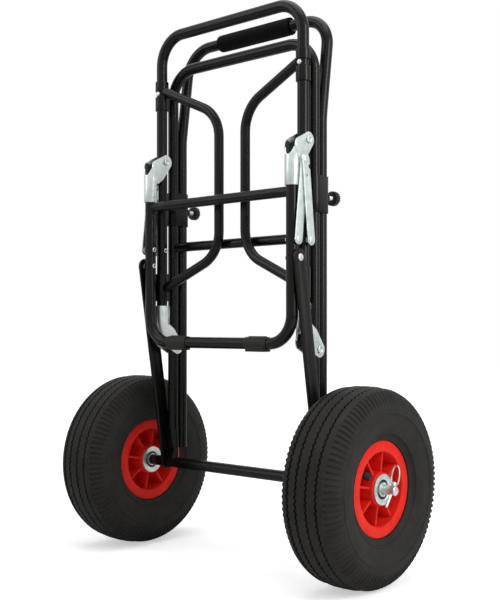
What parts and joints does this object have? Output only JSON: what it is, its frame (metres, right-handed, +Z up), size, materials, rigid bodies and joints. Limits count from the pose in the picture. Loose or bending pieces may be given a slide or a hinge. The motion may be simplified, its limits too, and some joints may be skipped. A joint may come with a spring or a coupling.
{
  "type": "folding trolley",
  "caption": "Folding two-wheel tackle trolley with nested tube hoops, swing-out side arms, hinged legs and struts, and a sliding handle with a foam grip.",
  "frame": {"origin": "on the floor under the middle of the axle, at the bottom centre of the bounding box", "axes": "+Z up, the axle along X, the folded legs face -Y and the handle is at +Y"},
  "size_m": [0.5318, 0.26, 0.7776],
  "materials": {
    "frame_black": "semi-gloss black powder coat on steel tube",
    "zinc": "bright zinc plate",
    "knob_black": "matte black",
    "foam_black": "matte foam",
    "pad_black": "matte rubber",
    "tyre_grey": "matte dark grey rubber",
    "tube_rubber": "smooth butyl rubber",
    "rim_red": "semi-gloss red moulded plastic"
  },
  "bodies": {
    "rear_frame": {"rear_hoop": "frame_black", "rear_crossbar": "frame_black", "axle_tube": "frame_black", "axle_rod": "zinc", "handle_clamp_l": "frame_black", "handle_clamp_r": "frame_black"},
    "handle": {"handle_hoop": "frame_black", "foam_grip": "foam_black"},
    "deck": {"deck_hoop": "frame_black", "lower_hinge_bracket_l": "zinc", "lower_hinge_bracket_r": "zinc", "lower_hinge_pin_l": "zinc", "lower_hinge_pin_r": "zinc", "arm_stop_rivet_l": "zinc", "arm_stop_rivet_r": "zinc"},
    "leg_frame": {"leg_hoop": "frame_black", "leg_crossbar": "frame_black", "foot_pad_l": "pad_black", "foot_pad_r": "pad_black", "upper_hinge_bracket_l": "zinc", "upper_hinge_bracket_r": "zinc", "upper_hinge_pin_l": "zinc", "upper_hinge_pin_r": "zinc", "strut_boss_l": "zinc", "strut_boss_r": "zinc"},
    "knob_l": {"clamp_knob_l": "knob_black", "clamp_stud_l": "zinc"},
    "arm_l": {"side_arm_l": "frame_black", "arm_upper_sleeve_l": "frame_black", "arm_lower_sleeve_l": "frame_black"},
    "strut_bar_l": {"strut_l": "frame_black", "strut_rivet_l": "zinc"},
    "leg_stay_l": {"stay_leg_link_l": "zinc"},
    "deck_stay_l": {"stay_deck_link_l": "zinc"},
    "wheel_l": {"tyre_l": "tyre_grey", "inner_tube_l": "tube_rubber", "rim_l": "rim_red", "bearing_outer_l": "zinc", "bearing_inner_l": "zinc", "valve_cap_l": "knob_black"},
    "linch_l": {"lynch_pin_l": "zinc"},
    "linch_loop_l": {"lynch_ring_l": "zinc"},
    "knob_r": {"clamp_knob_r": "knob_black", "clamp_stud_r": "zinc"},
    "arm_r": {"side_arm_r": "frame_black", "arm_upper_sleeve_r": "frame_black", "arm_lower_sleeve_r": "frame_black"},
    "strut_bar_r": {"strut_r": "frame_black", "strut_rivet_r": "zinc"},
    "leg_stay_r": {"stay_leg_link_r": "zinc"},
    "deck_stay_r": {"stay_deck_link_r": "zinc"},
    "wheel_r": {"tyre_r": "tyre_grey", "inner_tube_r": "tube_rubber", "rim_r": "rim_red", "bearing_outer_r": "zinc", "bearing_inner_r": "zinc", "valve_cap_r": "knob_black"},
    "linch_r": {"lynch_pin_r": "zinc"},
    "linch_loop_r": {"lynch_ring_r": "zinc"}
  },
  "joints": [
    {"name": "deck_fold", "type": "hinge", "parent": "rear_frame", "child": "deck", "pos_m": [0, 0, 0.306], "axis": [1, 0, 0], "range_deg": [0, 90]},
    {"name": "leg_fold", "type": "hinge", "parent": "deck", "child": "leg_frame", "pos_m": [0, -0.0235, 0.5837], "axis": [1, 0, 0], "range_deg": [-89.8, 0]},
    {"name": "handle_slide", "type": "slide", "parent": "rear_frame", "child": "handle", "axis": [0, 0, 1], "range_m": [0, 0.3]},
    {"name": "strut_swing_l", "type": "hinge", "parent": "rear_frame", "child": "strut_bar_l", "pos_m": [-0.1479, 0, 0.13], "axis": [1, 0, 0], "range_deg": [0, 81.9]},
    {"name": "leg_stay_swing_l", "type": "hinge", "parent": "leg_frame", "child": "leg_stay_l", "pos_m": [-0.1466, -0.047, 0.451], "axis": [1, 0, 0], "range_deg": [-28.9, 0]},
    {"name": "deck_stay_swing_l", "type": "hinge", "parent": "deck", "child": "deck_stay_l", "pos_m": [-0.1488, -0.0235, 0.451], "axis": [1, 0, 0], "range_deg": [0, 19.6]},
    {"name": "arm_swing_l", "type": "hinge", "parent": "deck", "child": "arm_l", "pos_m": [-0.1355, -0.0235, 0.539], "axis": [0, 0, 1], "range_deg": [0, 85.9]},
    {"name": "knob_turn_l", "type": "hinge", "parent": "rear_frame", "child": "knob_l", "pos_m": [-0.1345, 0.044, 0.513], "axis": [0, 1, 0], "range_deg": [0, 360]},
    {"name": "wheel_spin_l", "type": "hinge", "parent": "rear_frame", "child": "wheel_l", "pos_m": [-0.214, 0, 0.13], "axis": [1, 0, 0], "continuous": true},
    {"name": "linch_pull_l", "type": "slide", "parent": "rear_frame", "child": "linch_l", "axis": [0, -0.6018, 0.7986], "range_m": [0, 0.0305]},
    {"name": "linch_loop_swing_l", "type": "hinge", "parent": "linch_l", "child": "linch_loop_l", "pos_m": [-0.2593, -0.00572, 0.13759], "axis": [-1, 0, 0], "range_deg": [-25, 80]},
    {"name": "strut_swing_r", "type": "hinge", "parent": "rear_frame", "child": "strut_bar_r", "pos_m": [0.1479, 0, 0.13], "axis": [1, 0, 0], "range_deg": [0, 81.9]},
    {"name": "leg_stay_swing_r", "type": "hinge", "parent": "leg_frame", "child": "leg_stay_r", "pos_m": [0.1466, -0.047, 0.451], "axis": [1, 0, 0], "range_deg": [-28.9, 0]},
    {"name": "deck_stay_swing_r", "type": "hinge", "parent": "deck", "child": "deck_stay_r", "pos_m": [0.1488, -0.0235, 0.451], "axis": [1, 0, 0], "range_deg": [0, 19.6]},
    {"name": "arm_swing_r", "type": "hinge", "parent": "deck", "child": "arm_r", "pos_m": [0.1355, -0.0235, 0.539], "axis": [0, 0, 1], "range_deg": [-85.9, 0]},
    {"name": "knob_turn_r", "type": "hinge", "parent": "rear_frame", "child": "knob_r", "pos_m": [0.1345, 0.044, 0.513], "axis": [0, 1, 0], "range_deg": [0, 360]},
    {"name": "wheel_spin_r", "type": "hinge", "parent": "rear_frame", "child": "wheel_r", "pos_m": [0.214, 0, 0.13], "axis": [1, 0, 0], "continuous": true},
    {"name": "linch_pull_r", "type": "slide", "parent": "rear_frame", "child": "linch_r", "axis": [0, 0.6018, 0.7986], "range_m": [0, 0.0305]},
    {"name": "linch_loop_swing_r", "type": "hinge", "parent": "linch_r", "child": "linch_loop_r", "pos_m": [0.2593, 0.00572, 0.13759], "axis": [1, 0, 0], "range_deg": [-25, 80]}
  ],
  "couplings": [
    {"joint": "leg_fold", "follows": "deck_fold", "ratio": -0.9977},
    {"joint": "strut_swing_l", "follows": "deck_fold", "ratio": 0.9091},
    {"joint": "leg_stay_swing_l", "follows": "deck_fold", "ratio": -0.3207},
    {"joint": "deck_stay_swing_l", "follows": "deck_fold", "ratio": 0.2173},
    {"joint": "arm_swing_l", "follows": "deck_fold", "ratio": 0.9527},
    {"joint": "strut_swing_r", "follows": "deck_fold", "ratio": 0.9091},
    {"joint": "leg_stay_swing_r", "follows": "deck_fold", "ratio": -0.3207},
    {"joint": "deck_stay_swing_r", "follows": "deck_fold", "ratio": 0.2173},
    {"joint": "arm_swing_r", "follows": "deck_fold", "ratio": -0.9527}
  ]
}
